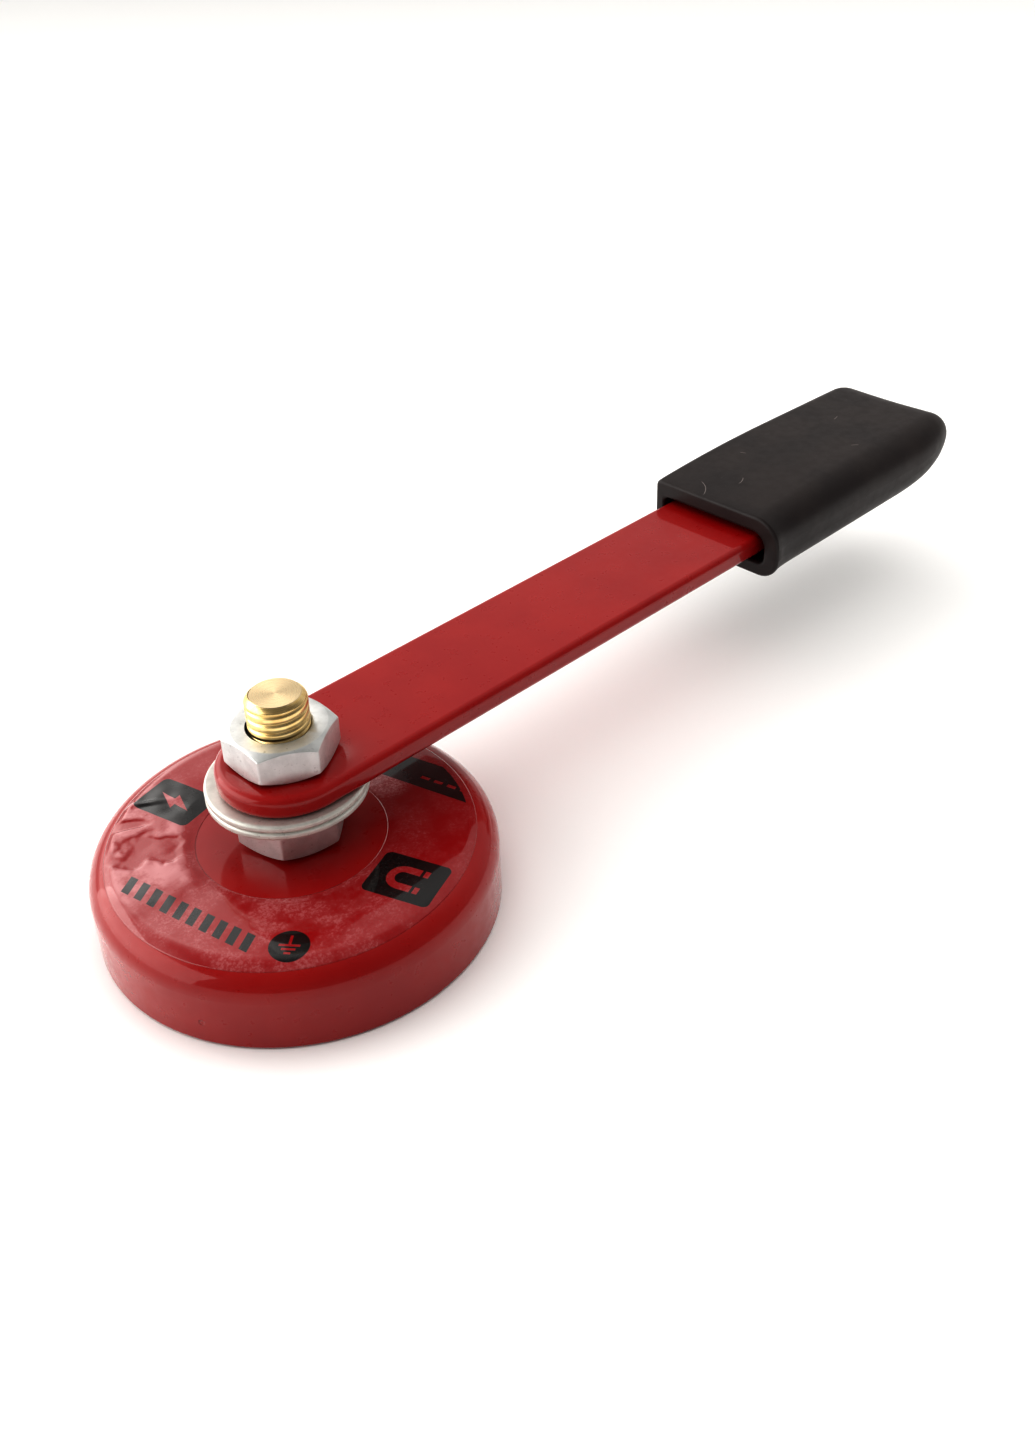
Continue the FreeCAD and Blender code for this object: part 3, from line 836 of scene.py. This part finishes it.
def sleeve_bore(x):
    """Outline (y, z) of the sleeve's inside at a station: slack at the mouth, snug on the bar's end."""
    slack = (1 - (x - sleeve_low.x) / (bar_high.x - sleeve_low.x)) ** 2
    return rounded_box(
        (bar_low.y - 0.05 - 1.1 * slack, bar_low.z - 0.05 - 1.0 * slack),
        (-bar_low.y + 0.05 + 0.3 * slack, bar_high.z + 0.05 + 0.85 * slack),
        [0.4 + (corner - 0.4) * slack for corner in SLEEVE_BORE_CORNERS])


def make_sleeve():
    """Dipped sleeve: a thick round lip, slack over the bar, closed and rounded at its end."""
    rings = []

    def add(x, outline):
        rings.append([Vector((x, y, z)) for y, z in outline])

    bore_steps = 14
    for step in range(bore_steps):
        x = bar_high.x + (sleeve_low.x + 0.6 - bar_high.x) * step / bore_steps
        add(x, sleeve_bore(x))
    bore, outside = sleeve_bore(sleeve_low.x), sleeve_outside(sleeve_low.x)
    arc = [math.pi / 8 * step for step in range(5)]
    lip_path = [(SLEEVE_LIP_SHARE * (1 - math.cos(a)), SLEEVE_LIP * (1 - math.sin(a))) for a in arc]
    lip_path += [(1 - share, depth) for share, depth in reversed(lip_path)]
    for share, depth in lip_path:
        add(sleeve_low.x + depth, [p.lerp(q, share) for p, q in zip(bore, outside)])
    stations = 30
    nose = max(side[3] for side in SLEEVE_SIDES.values())
    start = sleeve_low.x + SLEEVE_LIP
    for step in range(1, stations):
        x = start + (sleeve_high.x - nose - start) * step / stations
        add(x, sleeve_outside(x))
    nose_steps = 26
    for step in range(nose_steps + 1):
        x = sleeve_high.x - nose * (1 - math.sin(step / nose_steps * math.pi / 2))
        add(x, sleeve_outside(x))
    cap = rings[-1]
    centre = sum(cap, Vector()) / len(cap)
    for share in (0.3, 0.6, 0.85):
        rings.append([point.lerp(centre, share) for point in cap])
    rings.append([centre])

    # The closed end is drawn in a little between its two corners
    width = sleeve_high.y - sleeve_low.y
    for ring in rings[bore_steps:]:
        for point in ring:
            near_end = smooth_step(point.x, sleeve_high.x - 8, sleeve_high.x)
            middle = max(0.0, math.cos(math.pi * (point.y - centre.y) / width)) ** 2
            point.x -= SLEEVE_END_DRAWN_IN * near_end * middle
    back = [Vector((bar_high.x, 0, (bar_low.z + bar_high.z) / 2))]
    piece("grip_sleeve_dipped", [skin([back] + rings)], "handle", vinyl, ["grip_sleeve"])


make_sleeve()


# ---------------------------------------------------------------------------
# Handle bar
# ---------------------------------------------------------------------------


def split_by_direction(corners, most):
    """The same closed outline with points added, so that none is further round the stud than most."""
    outline = []
    for here, following in zip(corners, corners[1:] + corners[:1]):
        along = following - here
        if along.length < 0.01:
            continue
        first = math.atan2(here.y, here.x)
        sweep = (math.atan2(following.y, following.x) - first + math.pi) % TURN - math.pi
        steps = math.ceil(abs(sweep) / most)
        for step in range(steps):
            direction = first + sweep * step / steps
            way = Vector((math.cos(direction), math.sin(direction)))
            outline.append(here + along * (here.cross(way) / way.cross(along)))
    return outline


def make_bar():
    """Flat bar with soft edges and a round end, where its far side draws in a little."""
    drawn_in = bar_high.y - BAR_NARROWED
    half = (drawn_in - bar_low.y) / 2
    corners = rounded([
        (-half, bar_low.y, half), (bar_high.x, bar_low.y, BAR_CORNER), (bar_high.x, bar_high.y, BAR_CORNER),
        (sleeve_low.x, bar_high.y, 0), (-half, drawn_in, half),
    ], steps=30)
    outline = split_by_direction(corners, math.radians(3))
    count = len(outline)
    outward = []
    for index in range(count):
        along = (outline[(index + 1) % count] - outline[index - 1]).normalized()
        outward.append(Vector((along.y, -along.x)))

    def ring(inset, height):
        return [Vector((*(point - way * inset), height)) for point, way in zip(outline, outward)]

    hole = [point.normalized() * BAR_HOLE for point in outline]
    rings = [[Vector((*point, height)) for point in hole] for height in (bar_high.z, bar_low.z)]
    arc = [math.pi / 16 * step for step in range(9)]
    rounds = [(BAR_EDGE * (1 - math.sin(a)), BAR_EDGE * (1 - math.cos(a))) for a in arc]
    rings += [ring(inset, bar_low.z + rise) for inset, rise in rounds]
    rings += [ring(inset, bar_high.z - rise) for inset, rise in reversed(rounds)]
    piece("handle_bar_softened", [skin(rings, rows_closed=True)], "handle", enamel,
          ["handle_bar"])


make_bar()


# ---------------------------------------------------------------------------
# Floor, light and camera
# ---------------------------------------------------------------------------


def make_stage():
    """A plain pale floor."""
    finish = Finish("pale_floor", Roughness=0.7)
    finish.set("Base Color", (0.9, 0.9, 0.9, 1))
    mesh = bpy.data.meshes.new("floor")
    reach = 6.0
    mesh.from_pydata([(-reach, -reach, 0), (reach, -reach, 0), (reach, reach, 0), (-reach, reach, 0)],
                     [], [(0, 1, 2, 3)])
    mesh.materials.append(finish.material)
    floor = bpy.data.objects.new("floor", mesh)
    floor.location.z = cad_box[0].z - 0.0001
    bpy.context.collection.objects.link(floor)


def make_light():
    """A pale room, brighter on the far side and dark overhead, with three soft lamps."""
    world = bpy.data.worlds.new("studio")
    world.use_nodes = True
    bpy.context.scene.world = world
    tree = Tree(world.node_tree)
    way = tree.add("ShaderNodeTexCoord", output="Generated")
    x, y, z = tree.split(way)

    def facing(azimuth, low, high):
        """1 where the view runs within an angle of an azimuth, measured from +X."""
        a = math.radians(azimuth)
        flat = tree.vector("NORMALIZE", tree.join(x, y))
        inputs = [(0, flat), (1, (math.cos(a), math.sin(a), 0))]
        across = tree.add("ShaderNodeVectorMath", inputs, "Value", operation="DOT_PRODUCT")
        return tree.span(across, math.cos(math.radians(low)), math.cos(math.radians(high)))

    # Bright fields of the room: where each starts and stops upward, where it faces, and its strength
    level = 0.25
    for rise_from, rise_to, fall_to, fall_from, (azimuth, low, high), strength in (
        (-0.05, 0.1, 0.95, 0.84, (60, 110, 60), 0.56),
        (0.1, 0.2, 0.85, 0.75, (112, 52, 38), 0.7),
        (0.15, 0.25, 0.8, 0.7, (86, 27, 19), 1.5),
    ):
        band = tree.math("MULTIPLY", tree.span(z, rise_from, rise_to), tree.span(z, fall_to, fall_from))
        field = tree.math("MULTIPLY", band, facing(azimuth, low, high))
        level = tree.math("ADD", tree.math("MULTIPLY", field, strength), level)
    shade = tree.add("ShaderNodeBackground", [("Color", (*WARM_WHITE, 1)), ("Strength", level)])
    output = tree.nodes.new("ShaderNodeOutputWorld")
    tree.links.new(shade, output.inputs["Surface"])

    for name, place, size, power, glossy in (
        ("overhead", (0.05, 0.05, 1.0), (1.3, 1.3), 8.0, False),
        ("left", (-0.42, 0.30, 0.20), (0.8, 0.45), 3.0, True),
        ("right", (0.50, -0.40, 0.50), (1.0, 1.0), 2.5, False),
    ):
        lamp = bpy.data.lights.new(name, "AREA")
        lamp.shape = "RECTANGLE"
        lamp.size, lamp.size_y = size
        lamp.energy = power
        lamp.color = WARM_WHITE
        holder = bpy.data.objects.new(name, lamp)
        holder.location = place
        aim = LAMP_AIM - Vector(place)
        holder.rotation_euler = aim.to_track_quat("-Z", "Y").to_euler()
        holder.visible_glossy = glossy
        bpy.context.collection.objects.link(holder)


def make_camera():
    """Close view from the left front, which gives a strong perspective."""
    azimuth, elevation, roll = math.radians(-43.67), math.radians(30.80), math.radians(-2.0)
    aside, above, distance = 29.55, 31.44, 187.5
    picture_width, picture_height, long_lens = 1035, 1440, 1417
    centre_across, centre_down = 518.7, 599.0
    away = Vector((math.sin(azimuth) * math.cos(elevation), -math.cos(azimuth) * math.cos(elevation),
                   math.sin(elevation)))
    right = Vector((math.cos(azimuth), math.sin(azimuth), 0))
    up = away.cross(right)
    right, up = (math.cos(roll) * right + math.sin(roll) * up,
                 math.cos(roll) * up - math.sin(roll) * right)
    place = Vector((0, 0, 10)) + aside * right + above * up + distance * away
    lens = bpy.data.cameras.new("camera")
    lens.sensor_width = 36.0
    lens.lens = long_lens * lens.sensor_width / picture_height
    lens.shift_x = (picture_width / 2 - centre_across) / picture_height
    lens.shift_y = (centre_down - picture_height / 2) / picture_height
    lens.clip_start = 0.005
    camera = bpy.data.objects.new("camera", lens)
    turn = Matrix((right, up, away)).transposed().to_4x4()
    camera.matrix_world = Matrix.Translation(place * MM) @ turn
    bpy.context.collection.objects.link(camera)
    bpy.context.scene.camera = camera


make_stage()
make_light()
make_camera()
bpy.context.scene.view_settings.view_transform = "Standard"
bpy.context.scene.view_settings.gamma = 0.7
